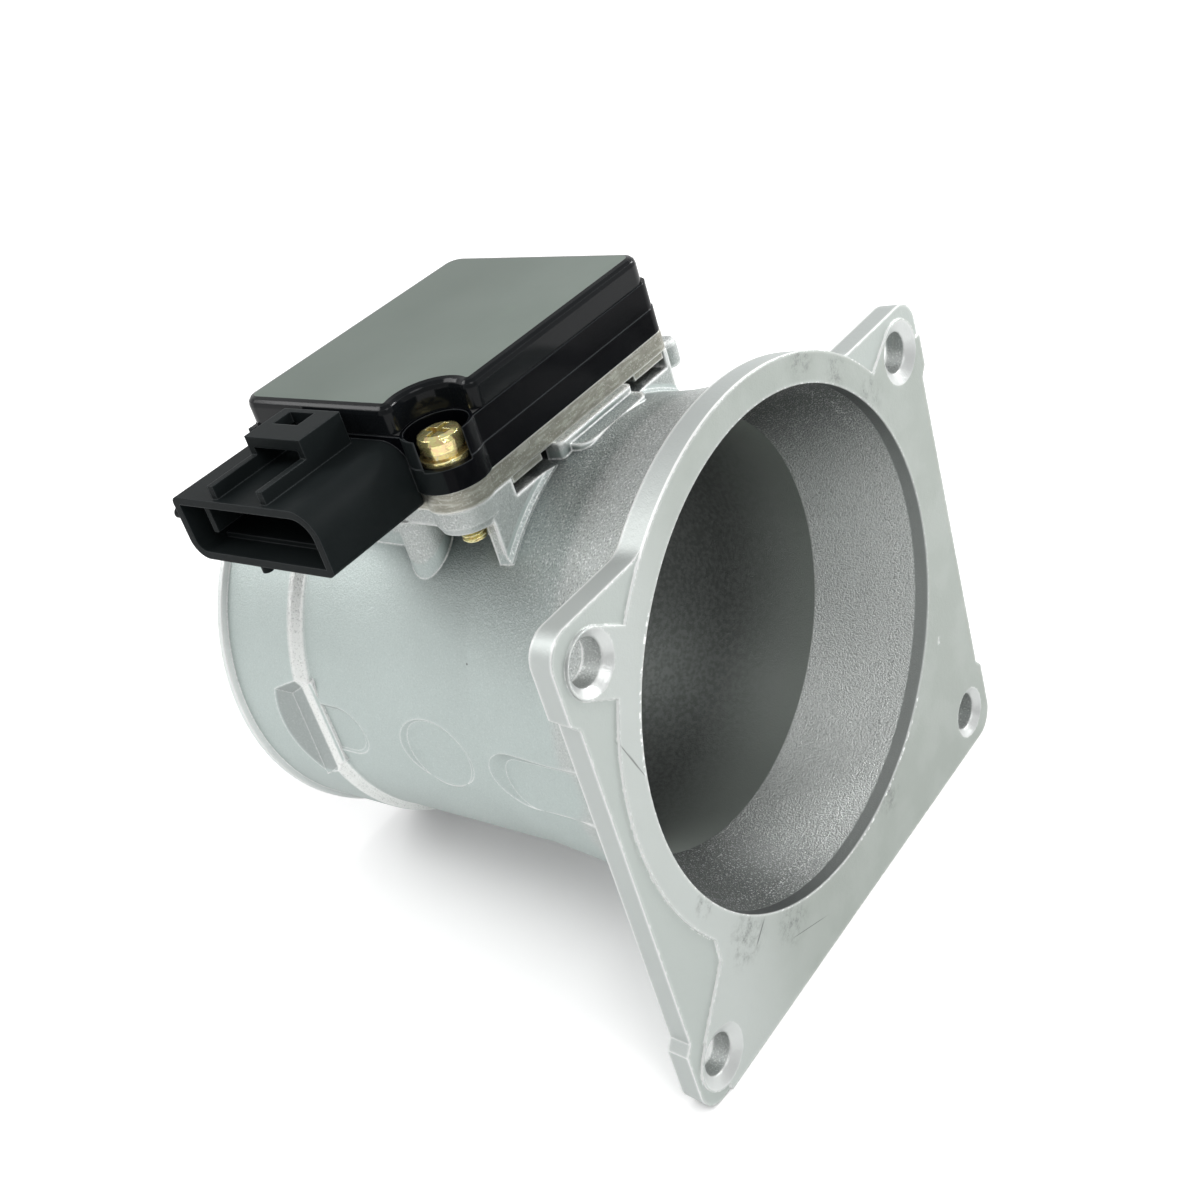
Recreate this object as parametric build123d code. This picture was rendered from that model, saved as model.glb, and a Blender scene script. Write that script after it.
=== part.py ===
from build123d import *
import math
import os

os.makedirs("parts", exist_ok=True)

# Mass airflow sensor, all sizes in millimetres.
# The bore runs along Y, the flange face is the plane y = 0 and looks to -Y,
# the electronics module stands on the +Z side and its connector points to -X.

# Bore
THROAT_R = 37.0
THROAT_Y = 20.4
LIP_STEP = 5.1
LIP_R = THROAT_R + LIP_STEP
LIP_DEPTH = 2.6
BORE_EXIT_CHAMFER = 0.8

# Tube outside
TUBE_LEN = 93.8
BODY_WALL = 2.1
BODY_R = THROAT_R + BODY_WALL
FLARE_RISE = 4.0
FLARE_R = BODY_R + FLARE_RISE
FLARE_MID_RISE = 1.3
FLARE_MID_R = BODY_R + FLARE_MID_RISE
FLARE_MID_Y = 21.0
FLARE_END_Y = 36.0
ROOT_FILLET = 2.0
COLLAR_RISE = 1.6
COLLAR_R = BODY_R + COLLAR_RISE
COLLAR_Y = 75.6
COLLAR_STEP = 1.6
COLLAR_EASE = 0.5
BEAD_RISE = 1.0
BEAD_R = COLLAR_R + BEAD_RISE
BEAD_WIDTH = 1.9
BEAD_EASE = 0.4

# Flange, its edges set by their distance past the ring
RING_LAND = 5.0
RING_R = LIP_R + RING_LAND
RING_BLEND_R = 5.0
FLANGE_T = 4.7
PAST_LEFT = 2.9
PAST_RIGHT = 4.0
PAST_BOTTOM = 6.4
RING_ABOVE = 10.5
FLANGE_LEFT = RING_R + PAST_LEFT
FLANGE_RIGHT = RING_R + PAST_RIGHT
FLANGE_BOTTOM = RING_R + PAST_BOTTOM
FLANGE_TOP = RING_R - RING_ABOVE
FLANGE_CORNER_R = 4.8
FLANGE_DRAFT = 4.5
PAD_STEP = 1.45
PAD_TOP_H = 13.0
PAD_TOP_Z = FLANGE_TOP - PAD_TOP_H
PAD_BOTTOM_H = 13.5
PAD_BOTTOM_Z = PAD_BOTTOM_H - FLANGE_BOTTOM
PAD_RAMP = 1.6
FACE_DROP = 0.45

# Flange holes, each set by its distance from the flange's edges
HOLE_FROM_LEFT = 5.4
HOLE_FROM_RIGHT = 5.7
HOLE_FROM_TOP = 7.27
HOLE_FROM_BOTTOM = 7.2
HOLE_LEFT_X = HOLE_FROM_LEFT - FLANGE_LEFT
HOLE_RIGHT_X = FLANGE_RIGHT - HOLE_FROM_RIGHT
HOLE_TOP_Z = FLANGE_TOP - HOLE_FROM_TOP
HOLE_BOTTOM_Z = HOLE_FROM_BOTTOM - FLANGE_BOTTOM
HOLE_R = 3.5
SINK_R_WIDE = 5.4
SINK_R_NARROW = 4.8
SINK_DEPTH = 1.15
HOLE_PAD_RIM = 0.25
HOLE_BRIDGE = 9.0

# Raised foot of the flange face
FOOT_H = 27.5
FOOT_KNEE_H = 22.0
FOOT_TOE_H = 12.9
FOOT_END_H = 3.0
FOOT_IN = 11.6
FOOT_KNEE_IN = 11.3
FOOT_TOE_IN = 2.5
FOOT_END_IN = 5.0
FOOT_RIGHT_IN = 11.1

# Cast flats on the -X side of the tube, each a little below its surface
TAB_DROP = 0.3
TAB_OUTLINE = [(72.8, 8.8), (79.4, 5.0), (79.9, -13.2), (72.8, -8.6)]
DEE_DROP = 0.7
DEE_Y = 69.3
DEE_Z = -1.2
DEE_R = 4.4
DISC_DROP = 0.6
DISC_Y = 47.2
DISC_Z = -1.4
DISC_R = 6.7
SLOT_DROP = 0.2
SLOT_Y = 28.4
SLOT_Z = -3.0
SLOT_R = 4.8
SLOT_TILT = 8.8
SLOT_TURN = 9.0
PAD_REACH = 3.0
PAD_OPEN = 2.2
PAD_SLOPE = 62.0

# Module outline, seen from above
MOD_LEFT = -31.0
MOD_RIGHT = 22.9
CASE_RIGHT = 23.4
PLATE_RIGHT = 23.9
MOD_FRONT = 29.2
MOD_BACK = 71.4
MOD_CORNER_R = 3.0
EAR_X = -26.3
EAR_Y = 34.2
EAR_R = 5.75
PLATE_EAR_R = 5.4
EAR_CORNER_R = 5.2
SCREW_X = -27.0
SCREW_Y = 33.6
FAR_X = 25.6
FAR_Y = 74.5
FAR_EAR_R = 5.7
FAR_EAR_ROOT = 4.0

# Module levels
SEAT_RISE = 2.15
SEAT_Z = BODY_R + SEAT_RISE
PLATE_T = 3.5
PLATE_Z = SEAT_Z + PLATE_T
EAR_H = 3.7
EAR_Z = PLATE_Z + EAR_H
CASE_LINE_H = 4.15
CASE_LINE_Z = PLATE_Z + CASE_LINE_H
CASE_H = 8.7
CASE_Z = PLATE_Z + CASE_H
COVER_H = 4.65
COVER_Z = CASE_Z + COVER_H
PROUD = 0.15
PLATE_GAP = 0.25

# Pedestal
RIM_T = 4.6
RIM_Z = SEAT_Z - RIM_T
RIM_LEFT = -28.5
PED_LEFT = -22.5
PED_RIGHT = 22.3
PED_WALL_LEFT = -25.3
PED_BACK = 70.5
PED_CORNER_R = 2.0
PED_ROOT_H = 13.0
PED_ROOT_Z = THROAT_R - PED_ROOT_H
RIM_PAST = 0.6
WEB_T = 2.0
WEB_LEFT = -26.4
WEB_BACK = 0.1
WINDOW_LEFT = -20.3
WINDOW_RIGHT = 21.4
WINDOW_H = 3.05
WINDOW_SILL_Z = SEAT_Z - WINDOW_H
WINDOW_DEPTH = 6.0
FOOT_R = 1.3
FOOT_RISE = 0.6
MID_LEFT = -9.8
MID_RIGHT = 9.6
MID_FRONT = 27.5
MID_CORNER_R = 1.0
LEDGE_FRONT = 24.2
LEDGE_DROP = 1.1
LEDGE_Z = SEAT_Z - LEDGE_DROP
LEDGE_LEFT = -8.0
LEDGE_RIGHT = 9.2
LEDGE_CORNER_R = 2.0
LUG_X = 25.3
LUG_Y = 32.4
LUG_R = 2.35
LUG_DROP = 0.05
LUG_Z = SEAT_Z - LUG_DROP
LUG_ROUND = 0.9
LUG_TIE_W = 3.2
BOSS_R = 5.2
BOSS_ROUND = 1.8
BOSS_DROP = 0.2
BOSS_X = -26.1
BOSS_Y = 34.3
PIN_BOSS_X = -24.8
PIN_BOSS_Y = 46.8
PIN_BOSS_R = 4.0
GUSSET_IN = 3.0
GUSSET_T = 2.5
GUSSET_FRONT = 4.5
GUSSET_RISE = 4.0
SEAT_RAIL_DROP = 1.2
SEAT_RAIL_END = 12.7
SEAT_RAIL_GAP = 0.3

# Bypass passage inside the bore
BYPASS_DROP = 13.0
BYPASS_Z = THROAT_R - BYPASS_DROP
BYPASS_R = 5.0
BYPASS_WALL = 3.2
BYPASS_Y0 = 34.0
BYPASS_Y1 = 66.0
PROBE_X = 0.0
PROBE_Y = 50.0
PROBE_R = 6.2
PROBE_GAP = 0.3
PROBE_TIP_RISE = 4.6
PROBE_TIP_Z = BYPASS_Z + PROBE_TIP_RISE
PROBE_HEAD_R = 8.0
PROBE_HEAD_T = 1.5
RING_DROP = 6.25
RING_GROOVE_Z = SEAT_Z - RING_DROP
RING_W = 1.6
RING_H = 1.6
POST_W = 0.8
POST_PITCH_X = 4.0
POST_PITCH_Y = 4.4
POST_REACH = 2.5
POST_TIP_Z = BYPASS_Z - POST_REACH
POST_STAND = 0.6
ELEMENT_R = 0.35
ELEMENT_RISE = 0.8
ELEMENT_Z = POST_TIP_Z + ELEMENT_RISE

# Case and cover
CASE_WALL = 2.2
HOLLOW_CORNER_R = 1.5
POCKET_R = 5.0
COVER_WALL = 1.6
COVER_EDGE_R = 1.3
COVER_CUSP_R = 1.6
COVER_NOTCH_R = 5.3
COVER_INSET = 0.2
SEAL_W = 1.0
SEAL_H = 0.6
SEAL_DEPTH = 0.6

# Connector
CONN_REACH = 20.0
CONN_X = MOD_LEFT - CONN_REACH
CONN_Y0 = 37.0
CONN_Y1 = 67.9
CONN_RISE = 0.85
CONN_Z0 = SEAT_Z + CONN_RISE
CONN_H = 10.65
CONN_Z1 = CONN_Z0 + CONN_H
CONN_WALL = 1.3
CONN_SHOULDER_R = 4.8
CONN_LOW_R = 3.2
CONN_EDGE_R = 1.2
CONN_FLOOR_X = -46.6
CONN_FLOOR_STEP = 0.8
CONN_FLOOR_RIGHT = 2.0
CONN_FLOOR_LEFT = 3.0
CONN_DEPTH = 16.0
CONN_KEY_Y = 61.6
CONN_KEY_DROP = 5.0
CONN_KEY_W = 1.0
CONN_KEY_IN = 1.2
RAIL_RIGHT_Y = 46.6
RAIL_LEFT_Y = 58.7
RAIL_T = 1.2
RAIL_H = 2.2
RAIL_Z = CONN_Z1 + RAIL_H
RAIL_X = -50.3
LATCH_X = -41.0
LATCH_END_X = -32.3
LATCH_H = 5.25
LATCH_Z = CONN_Z1 + LATCH_H
LATCH_T = 1.8
LATCH_WIN_X0 = -36.9
LATCH_WIN_X1 = -33.2
LATCH_WIN_Y0 = 51.1
LATCH_WIN_Y1 = 56.6
NUB_R = 0.9
NUB_X = -50.0
NUB_H = 1.2
LOW_NUB_Y = 53.2
SIDE_NUB_DROP = 3.35
GATE_Y = 70.0
GATE_W = 1.2
GATE_OUT = 0.7
GATE_H = 2.0

# Terminals
PIN_COUNT = 6
PIN_PITCH = 4.2
PIN_W = 2.3
PIN_T = 0.8
PIN_RISE = 5.7
PIN_Z = CONN_Z0 + PIN_RISE
PIN_TIP_X = -44.6
PIN_LEG_X = -26.4
PIN_BEVEL = 0.25

# Circuit board and what stands on it
BOARD_X0 = -27.8
BOARD_X1 = 18.0
BOARD_Y0 = 41.6
BOARD_Y1 = 67.6
BOARD_T = 0.8
CHIP_SIZE = (9.0, 7.0, 1.6)
CHIP_XY = (-12.0, 58.5)
POWER_SIZE = (6.5, 6.0, 2.2)
POWER_XY = (11.0, 60.0)
CAP_SIZE = (3.2, 1.8, 1.3)
CAP_1_XY = (-19.5, 49.0)
CAP_2_XY = (-14.0, 49.0)
TRIM_SIZE = (4.5, 3.0, 1.0)
TRIM_XY = (10.5, 49.0)
CHIP_BEVEL = 0.2

# Screws and washers
THREAD_R = 2.0
THREAD_GAP = 0.15
TIP_EASE = 0.4
SCREW_LEN = 16.0
HEAD_R = 3.5
HEAD_H = 2.6
HEAD_DOME = 1.1
CROSS_W = 1.0
CROSS_R = 2.1
CROSS_DEPTH = 1.5
LOCK_R = 3.35
LOCK_T = 1.0
LOCK_SLIT = 0.7
LOCK_SLIT_AT = -60.0
LOCK_SLIT_LEAN = 25.0
FLAT_R = 3.9
FLAT_T = 0.8
WASHER_BORE_R = 2.15

# Longer than the whole part, for cuts that run right past it
REACH = 150.0
# How far a cut runs past a face
PAST = 1.0
# How far a joined shape is sunk into its neighbour
SUNK = 0.2
# Points closer than this are the same
NEAR = 0.01


def box(x0, x1, y0, y1, z0, z1):
    return Pos((x0 + x1) / 2, (y0 + y1) / 2, (z0 + z1) / 2) * Box(x1 - x0, y1 - y0, z1 - z0)


def rod(x, y, z0, z1, r):
    return Pos(x, y, (z0 + z1) / 2) * Cylinder(r, z1 - z0)


def rod_y(x, z, y0, y1, r):
    return Pos(x, (y0 + y1) / 2, z) * Rot(90, 0, 0) * Cylinder(r, y1 - y0)


def spun(profile):
    # Profile of (radius, y) points, spun about the bore axis.
    face = make_face(Polyline(*profile, close=True))
    return revolve(face, Axis.Y, 360)


def turned(x, y, profile):
    # Profile of (radius, z) points, spun about the vertical through x, y.
    face = Plane.XZ * make_face(Polyline(*profile, close=True))
    return Pos(x, y, 0) * revolve(face, Axis.Z, 360)


def arc_points(centre, radius, start, end, steps=2):
    # A rounded corner of a spun profile, as a few chords.
    turns = [math.radians(start + (end - start) * i / steps) for i in range(steps + 1)]
    return [(centre[0] + radius * math.cos(a), centre[1] + radius * math.sin(a)) for a in turns]


# Flange
def hole_centres():
    return [
        (HOLE_LEFT_X, HOLE_TOP_Z, SINK_R_NARROW),
        (HOLE_RIGHT_X, HOLE_TOP_Z, SINK_R_WIDE),
        (HOLE_RIGHT_X, HOLE_BOTTOM_Z, SINK_R_NARROW),
        (HOLE_LEFT_X, HOLE_BOTTOM_Z, SINK_R_WIDE),
    ]


def flange_outline():
    left = -FLANGE_LEFT
    right = FLANGE_RIGHT
    out_l = left - PAD_STEP
    out_r = right + PAD_STEP
    low = -FLANGE_BOTTOM
    points = [
        (out_l, low),
        (out_r, low),
        (out_r, PAD_BOTTOM_Z),
        (right, PAD_BOTTOM_Z + PAD_RAMP),
        (right, PAD_TOP_Z - PAD_RAMP),
        (out_r, PAD_TOP_Z),
        (out_r, FLANGE_TOP),
        (out_l, FLANGE_TOP),
        (out_l, PAD_TOP_Z),
        (left, PAD_TOP_Z - PAD_RAMP),
        (left, PAD_BOTTOM_Z + PAD_RAMP),
        (out_l, PAD_BOTTOM_Z),
    ]
    plate = make_face(Polyline(*points, close=True))
    corners = [v for v in plate.vertices() if abs(v.X) > FLANGE_LEFT + PAD_STEP / 2 and
               (v.Y > FLANGE_TOP - NEAR or v.Y < low + NEAR)]
    plate = fillet(corners, FLANGE_CORNER_R)
    outline = plate + Circle(RING_R)
    neck_x = math.sqrt(RING_R ** 2 - FLANGE_TOP ** 2)
    necks = [v for v in outline.vertices() if
             abs(v.Y - FLANGE_TOP) < NEAR and abs(abs(v.X) - neck_x) < NEAR]
    return fillet(necks, RING_BLEND_R)


def lowered_face():
    raised = Circle(RING_R)
    for x, z, sink in hole_centres():
        inner = 1 - HOLE_BRIDGE / math.hypot(x, z)
        raised += make_hull([
            *(Pos(x, z) * Circle(sink + HOLE_PAD_RIM)).edges(),
            *(Pos(x * inner, z * inner) * Circle(sink + HOLE_PAD_RIM)).edges(),
        ])
    low = -FLANGE_BOTTOM
    foot = [
        (FOOT_IN - FLANGE_LEFT, low + FOOT_H),
        (FOOT_KNEE_IN - FLANGE_LEFT, low + FOOT_KNEE_H),
        (FOOT_TOE_IN - FLANGE_LEFT, low + FOOT_TOE_H),
        (FOOT_END_IN - FLANGE_LEFT, low + FOOT_END_H),
        (FOOT_END_IN - FLANGE_LEFT, -REACH),
        (REACH, -REACH),
        (REACH, HOLE_TOP_Z),
        (FLANGE_RIGHT - FOOT_RIGHT_IN, HOLE_TOP_Z),
        (FLANGE_RIGHT - FOOT_RIGHT_IN, low + FOOT_H),
    ]
    raised += make_face(Polyline(*foot, close=True))
    return flange_outline() - raised


def flange():
    back = (0, 1, 0)
    plate = extrude(Plane.XZ * flange_outline(), amount=FLANGE_T, dir=back, taper=FLANGE_DRAFT)
    plate -= extrude(Plane.XZ * lowered_face(), amount=FACE_DROP, dir=back)
    return plate


def bolt_cuts():
    cuts = []
    for x, z, sink in hole_centres():
        cuts.append(rod_y(x, z, -PAST, FLANGE_T + 2 * ROOT_FILLET, HOLE_R))
        cone = [(0, 0), (sink, 0), (HOLE_R, SINK_DEPTH), (0, SINK_DEPTH)]
        cuts.append(Pos(x, 0, z) * spun(cone))
    return cuts


# Tube
def tube_outside():
    bead_y = TUBE_LEN - BEAD_WIDTH
    centre = (FLARE_R + ROOT_FILLET, FLANGE_T + ROOT_FILLET)
    root = arc_points(centre, ROOT_FILLET, 270, 180)
    start = FLANGE_T / 2
    profile = [
        (0, start),
        (root[0][0], start),
        *root,
        (FLARE_MID_R, FLARE_MID_Y),
        (BODY_R, FLARE_END_Y),
        (BODY_R, COLLAR_Y - COLLAR_STEP - COLLAR_EASE),
        (BODY_R + COLLAR_EASE / 2, COLLAR_Y - COLLAR_STEP + COLLAR_EASE / 2),
        (COLLAR_R - COLLAR_EASE / 2, COLLAR_Y - COLLAR_EASE / 2),
        (COLLAR_R, COLLAR_Y + COLLAR_EASE),
        (COLLAR_R, bead_y),
        (BEAD_R, bead_y + BEAD_EASE),
        (BEAD_R, TUBE_LEN - BEAD_EASE),
        (BEAD_R - BEAD_EASE, TUBE_LEN),
        (0, TUBE_LEN),
    ]
    return spun(profile)


def bore_cut():
    end = TUBE_LEN
    return spun([
        (0, -PAST),
        (LIP_R, -PAST),
        (LIP_R, LIP_DEPTH),
        (THROAT_R, THROAT_Y),
        (THROAT_R, end - BORE_EXIT_CHAMFER),
        (THROAT_R + BORE_EXIT_CHAMFER, end),
        (THROAT_R + BORE_EXIT_CHAMFER, end + PAST),
        (0, end + PAST),
    ])


def side_flat(sketch, x, y=0.0, tilt=0.0):
    # A cast flat: cut down to x with soft sloping walls, and built out to x
    # where the tube falls away. The sketch is drawn about y.
    run = (math.sin(math.radians(tilt)), math.cos(math.radians(tilt)), 0)
    inward = Vector(run[1], -run[0], 0)
    plane = Plane(origin=(-x, y, 0), x_dir=run, z_dir=inward)
    cut = extrude(plane * sketch, amount=PAD_OPEN, dir=-inward, taper=-PAD_SLOPE)
    fill = extrude(plane * sketch, amount=PAD_REACH, dir=inward)
    behind = box(-REACH, REACH, FLANGE_T + ROOT_FILLET, TUBE_LEN, -REACH, REACH)
    return cut & behind, fill


def side_flats():
    tab = make_face(Polyline(*TAB_OUTLINE, close=True))
    dee = Pos(DEE_Y, DEE_Z) * Circle(DEE_R)
    dee += Pos((DEE_Y + COLLAR_Y) / 2, DEE_Z) * Rectangle(COLLAR_Y - DEE_Y, 2 * DEE_R)
    disc = Pos(DISC_Y, DISC_Z) * Circle(DISC_R)
    run = SLOT_Y - FLANGE_T
    slot = Circle(SLOT_R) + Pos(-run / 2, 0) * Rectangle(run, 2 * SLOT_R)
    slot = Pos(0, SLOT_Z) * Rot(0, 0, -SLOT_TURN) * slot
    return [
        side_flat(disc, BODY_R - DISC_DROP),
        side_flat(slot, BODY_R - SLOT_DROP, SLOT_Y, SLOT_TILT),
        side_flat(dee, BODY_R - DEE_DROP),
        side_flat(tab, BODY_R - TAB_DROP),
    ]


# Module outline
def module_sketch(right, ear_r, grow=0.0, far_ear=True):
    w = right - MOD_LEFT + 2 * grow
    d = MOD_BACK - MOD_FRONT + 2 * grow
    cx = (MOD_LEFT + right) / 2
    cy = (MOD_FRONT + MOD_BACK) / 2
    body = Pos(cx, cy) * Rectangle(w, d)
    ear = [v for v in body.vertices() if v.X < cx and v.Y < cy]
    body = fillet(ear, EAR_CORNER_R)
    rest = [v for v in body.vertices() if v.X > cx or v.Y > cy]
    body = fillet(rest, MOD_CORNER_R)
    body += Pos(EAR_X, EAR_Y) * Circle(ear_r + grow)
    if far_ear:
        reach = EAR_R + FAR_EAR_ROOT
        body += make_hull([
            *(Pos(FAR_X, FAR_Y) * Circle(FAR_EAR_R + grow)).edges(),
            *(Pos(MOD_RIGHT - reach, MOD_BACK - reach) * Circle(EAR_R)).edges(),
        ])
    return body


def slab(sketch, z0, z1):
    return extrude(Plane.XY.offset(z0) * sketch, amount=z1 - z0)


def eased_slab(sketch, z0, z1, radius, steps=3):
    # Slab whose upper edge is rounded, by a few tapered layers.
    body = slab(sketch, z0, z1 - radius)
    for i in range(steps):
        low, high = (math.radians(90 * k / steps) for k in (i, i + 1))
        rise = radius * (math.sin(high) - math.sin(low))
        run = radius * (math.cos(low) - math.cos(high))
        top = body.faces().sort_by(Axis.Z)[-1]
        slope = math.degrees(math.atan2(run, rise))
        body += extrude(top, amount=rise, dir=(0, 0, 1), taper=slope)
    return body


# Pedestal
def window_cut(x0, x1):
    return box(x0, x1, MOD_FRONT - PAST, MOD_FRONT + WINDOW_DEPTH, WINDOW_SILL_Z, SEAT_Z + PAST)


def pedestal_block():
    front = MOD_FRONT + WEB_T
    w = PED_RIGHT - PED_LEFT
    d = PED_BACK - front
    base = Pos((PED_LEFT + PED_RIGHT) / 2, (front + PED_BACK) / 2) * Rectangle(w, d)
    base = fillet(base.vertices(), PED_CORNER_R)
    wall = box(PED_WALL_LEFT, 0, PIN_BOSS_Y, PED_BACK - PED_CORNER_R, PED_ROOT_Z, SEAT_Z)
    return slab(base, PED_ROOT_Z, SEAT_Z) + wall


def pedestal_rim():
    front = MOD_FRONT + WEB_T
    w = PED_RIGHT + RIM_PAST - RIM_LEFT
    d = MOD_BACK - RIM_PAST - front
    rim = Pos(RIM_LEFT + w / 2, front + d / 2) * Rectangle(w, d)
    rim = fillet(rim.vertices(), PED_CORNER_R)
    return slab(rim, RIM_Z, SEAT_Z)


def pedestal_web():
    front = MOD_FRONT + WEB_BACK
    web = box(WEB_LEFT, PED_RIGHT, front, front + WEB_T, PED_ROOT_Z, SEAT_Z)
    # The fillet between the web and the tube is a ring about the bore axis.
    r0 = BODY_R + FOOT_RISE
    y0 = front - FOOT_R
    y1 = front + WEB_T / 2
    ring = spun([
        (THROAT_R, y0),
        *arc_points((r0 + FOOT_R, y0), FOOT_R, 180, 90, steps=3),
        (r0 + FOOT_R, y1),
        (THROAT_R, y1),
    ])
    return web + (ring & box(WEB_LEFT, PED_RIGHT, y0, y1, PED_ROOT_Z, REACH))


def middle_pad():
    pad = box(MID_LEFT, MID_RIGHT, MID_FRONT, MOD_FRONT + WEB_T, THROAT_R, SEAT_Z)
    upright = [e for e in pad.edges().filter_by(Axis.Z) if e.center().Y < MID_FRONT + NEAR]
    pad = fillet(upright, MID_CORNER_R)
    ledge = box(LEDGE_LEFT, LEDGE_RIGHT, LEDGE_FRONT, MID_FRONT + PAST, THROAT_R, LEDGE_Z)
    upright = [e for e in ledge.edges().filter_by(Axis.Z) if e.center().Y < LEDGE_FRONT + NEAR]
    ledge = fillet(upright, LEDGE_CORNER_R)
    return pad + ledge


def screw_boss(x, y):
    low = RIM_Z - BOSS_DROP
    foot = arc_points((BOSS_R - BOSS_ROUND, low + BOSS_ROUND), BOSS_ROUND, -90, 0)
    return turned(x, y, [(0, low), *foot, (BOSS_R, SEAT_Z), (0, SEAT_Z)])


def pin_boss():
    return rod(PIN_BOSS_X, PIN_BOSS_Y, PED_ROOT_Z, RIM_Z + SUNK, PIN_BOSS_R)


def far_gusset():
    y0 = FAR_Y - GUSSET_FRONT
    return box(PED_RIGHT - GUSSET_IN, FAR_X, y0, y0 + GUSSET_T, PED_ROOT_Z + GUSSET_RISE, SEAT_Z - SUNK)


def lug():
    top = arc_points((LUG_R - LUG_ROUND, LUG_Z - LUG_ROUND), LUG_ROUND, 0, 90)
    post = turned(LUG_X, LUG_Y, [(0, RIM_Z), (LUG_R, RIM_Z), *top, (0, LUG_Z)])
    half = LUG_TIE_W / 2
    tie = box(PED_RIGHT - SUNK, LUG_X, LUG_Y - half, LUG_Y + half, RIM_Z, SEAT_Z)
    return post + tie


def seat_outside():
    seat = pedestal_block() + pedestal_rim()
    seat += pedestal_web()
    seat += screw_boss(BOSS_X, BOSS_Y)
    seat += screw_boss(FAR_X, FAR_Y)
    seat += pin_boss()
    seat += far_gusset()
    seat -= window_cut(WINDOW_LEFT, WINDOW_RIGHT)
    seat += middle_pad()
    seat += lug()
    return seat


def bypass_boss():
    r = BYPASS_R + BYPASS_WALL
    nose = rod_y(PROBE_X, BYPASS_Z, BYPASS_Y0, BYPASS_Y1, r)
    nose += box(PROBE_X - r, PROBE_X + r, BYPASS_Y0, BYPASS_Y1, BYPASS_Z, THROAT_R)
    return nose & rod_y(0, 0, BYPASS_Y0, BYPASS_Y1, THROAT_R + SUNK)


def probe_cuts():
    r = PROBE_R + PROBE_GAP
    return [
        rod(PROBE_X, PROBE_Y, BYPASS_Z, SEAT_Z + PAST, r),
        rod_y(PROBE_X, BYPASS_Z, BYPASS_Y0 - PAST, BYPASS_Y1 + PAST, BYPASS_R),
    ]


def housing():
    body = tube_outside() + flange()
    for cut, fill in side_flats():
        body = body - cut + fill
    body += seat_outside()
    body -= bore_cut()
    body += bypass_boss()
    for cut in probe_cuts() + bolt_cuts():
        body -= cut
    tip = screw_seat() - SCREW_LEN
    for x, y in screw_points():
        body -= rod(x, y, tip - THREAD_GAP, SEAT_Z + PAST, THREAD_R + THREAD_GAP)
    return body


# Base plate
def base_plate():
    plate = slab(module_sketch(PLATE_RIGHT, PLATE_EAR_R), SEAT_Z, PLATE_Z)
    y0 = MOD_FRONT + PLATE_GAP
    y1 = MOD_FRONT + WINDOW_DEPTH - SEAT_RAIL_GAP
    z0 = SEAT_Z - SEAT_RAIL_DROP
    plate += box(WINDOW_LEFT + SEAT_RAIL_GAP, -SEAT_RAIL_END, y0, y1, z0, SEAT_Z)
    plate += box(SEAT_RAIL_END, WINDOW_RIGHT - SEAT_RAIL_GAP, y0, y1, z0, SEAT_Z)
    plate -= rod(PROBE_X, PROBE_Y, SEAT_Z - PAST, PLATE_Z + PAST, PROBE_R)
    plate -= rod(PROBE_X, PROBE_Y, PLATE_Z - PROBE_HEAD_T, PLATE_Z + PAST, PROBE_HEAD_R)
    for x, y in screw_points():
        plate -= rod(x, y, SEAT_Z - PAST, PLATE_Z + PAST, THREAD_R + THREAD_GAP)
    return plate


# Case
def case_hollow():
    t = CASE_WALL
    w = MOD_RIGHT - MOD_LEFT - 2 * t
    d = MOD_BACK - MOD_FRONT - 2 * t
    hollow = Pos((MOD_LEFT + MOD_RIGHT) / 2, (MOD_FRONT + MOD_BACK) / 2) * Rectangle(w, d)
    hollow = fillet(hollow.vertices(), HOLLOW_CORNER_R)
    keep = Pos(SCREW_X, SCREW_Y) * Circle(POCKET_R + CASE_WALL)
    return hollow - keep


def connector_outline():
    face = make_face(Polyline(
        (CONN_Y0, CONN_Z0), (CONN_Y1, CONN_Z0), (CONN_Y1, CONN_Z1), (CONN_Y0, CONN_Z1), close=True))
    mid = (CONN_Y0 + CONN_Y1) / 2
    half = (CONN_Z0 + CONN_Z1) / 2
    low = [v for v in face.vertices() if v.X > mid and v.Y < half]
    face = fillet(low, CONN_LOW_R)
    shoulder = [v for v in face.vertices() if v.X < mid and v.Y > half]
    face = fillet(shoulder, CONN_SHOULDER_R)
    rest = [v for v in face.vertices() if (v.X < mid) == (v.Y < half) and
            min(abs(v.X - CONN_Y0), abs(v.X - CONN_Y1)) < NEAR and
            min(abs(v.Y - CONN_Z0), abs(v.Y - CONN_Z1)) < NEAR]
    return fillet(rest, CONN_EDGE_R)


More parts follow.
